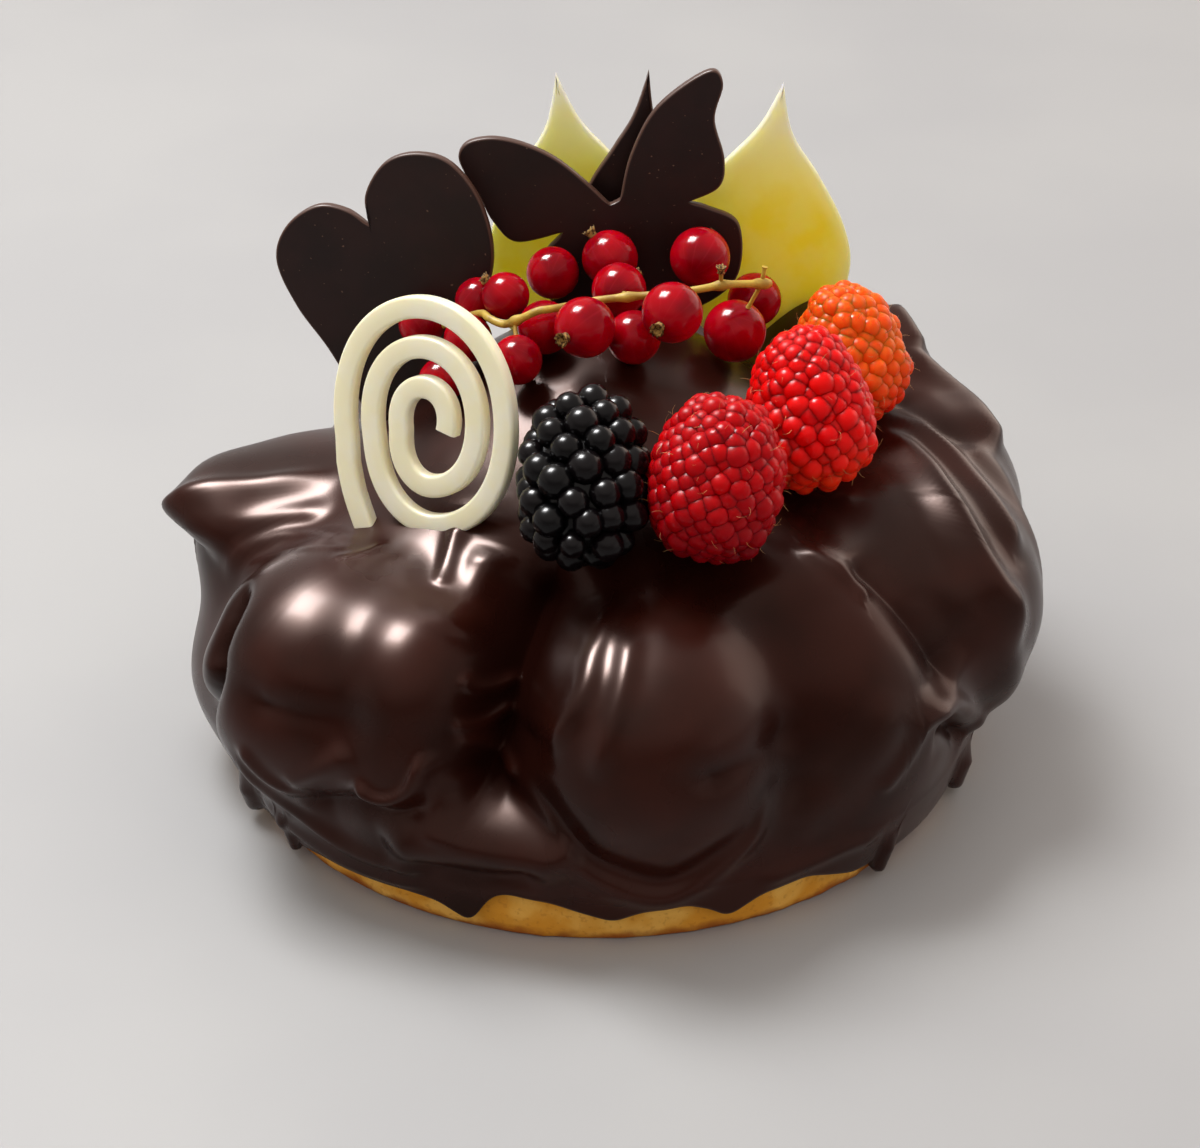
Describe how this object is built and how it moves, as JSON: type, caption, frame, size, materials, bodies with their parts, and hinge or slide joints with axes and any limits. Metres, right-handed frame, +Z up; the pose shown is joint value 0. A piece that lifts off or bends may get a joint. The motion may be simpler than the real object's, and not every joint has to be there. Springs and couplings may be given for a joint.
{
  "type": "cream puff cake",
  "caption": "Round cake of glazed cream puffs on a golden pastry base, topped with chocolate plaques, redcurrants, raspberries and a bramble.",
  "frame": {"origin": "middle of the pastry base's flat underside, on the table", "axes": "+Z up, -Y towards the side that the chocolate plaques and the fruit face"},
  "size_m": [0.1674, 0.1605, 0.1252],
  "materials": {
    "golden_pastry": "baked, dry and slightly rough",
    "chocolate_glaze": "glossy poured chocolate",
    "dark_chocolate": "satin moulded chocolate",
    "yellow_chocolate": "satin coloured white chocolate",
    "white_chocolate": "satin piped white chocolate",
    "currant_skin": "glossy translucent skin",
    "stem": "dry green-yellow stem",
    "bramble_skin": "glossy drupelets",
    "raspberry_skin": "downy translucent drupelets",
    "orange_raspberry_skin": "downy translucent drupelets"
  },
  "bodies": {
    "root": {"bramble": "bramble_skin", "currant_stalk": "stem", "dark_butterfly": "dark_chocolate", "dark_flame": "dark_chocolate", "dark_heart": "dark_chocolate", "glazed_puffs": "chocolate_glaze", "pastry_base": "golden_pastry", "raspberry_1": "raspberry_skin", "raspberry_2": "raspberry_skin", "raspberry_3": "orange_raspberry_skin", "redcurrant_01": "currant_skin", "redcurrant_02": "currant_skin", "redcurrant_03": "currant_skin", "redcurrant_04": "currant_skin", "redcurrant_05": "currant_skin", "redcurrant_06": "currant_skin", "redcurrant_07": "currant_skin", "redcurrant_08": "currant_skin", "redcurrant_09": "currant_skin", "redcurrant_10": "currant_skin", "redcurrant_11": "currant_skin", "redcurrant_12": "currant_skin", "redcurrant_13": "currant_skin", "redcurrant_14": "currant_skin", "redcurrant_15": "currant_skin", "redcurrant_16": "currant_skin", "white_spiral": "white_chocolate", "yellow_flame_left": "yellow_chocolate", "yellow_flame_right": "yellow_chocolate"}
  },
  "joints": []
}
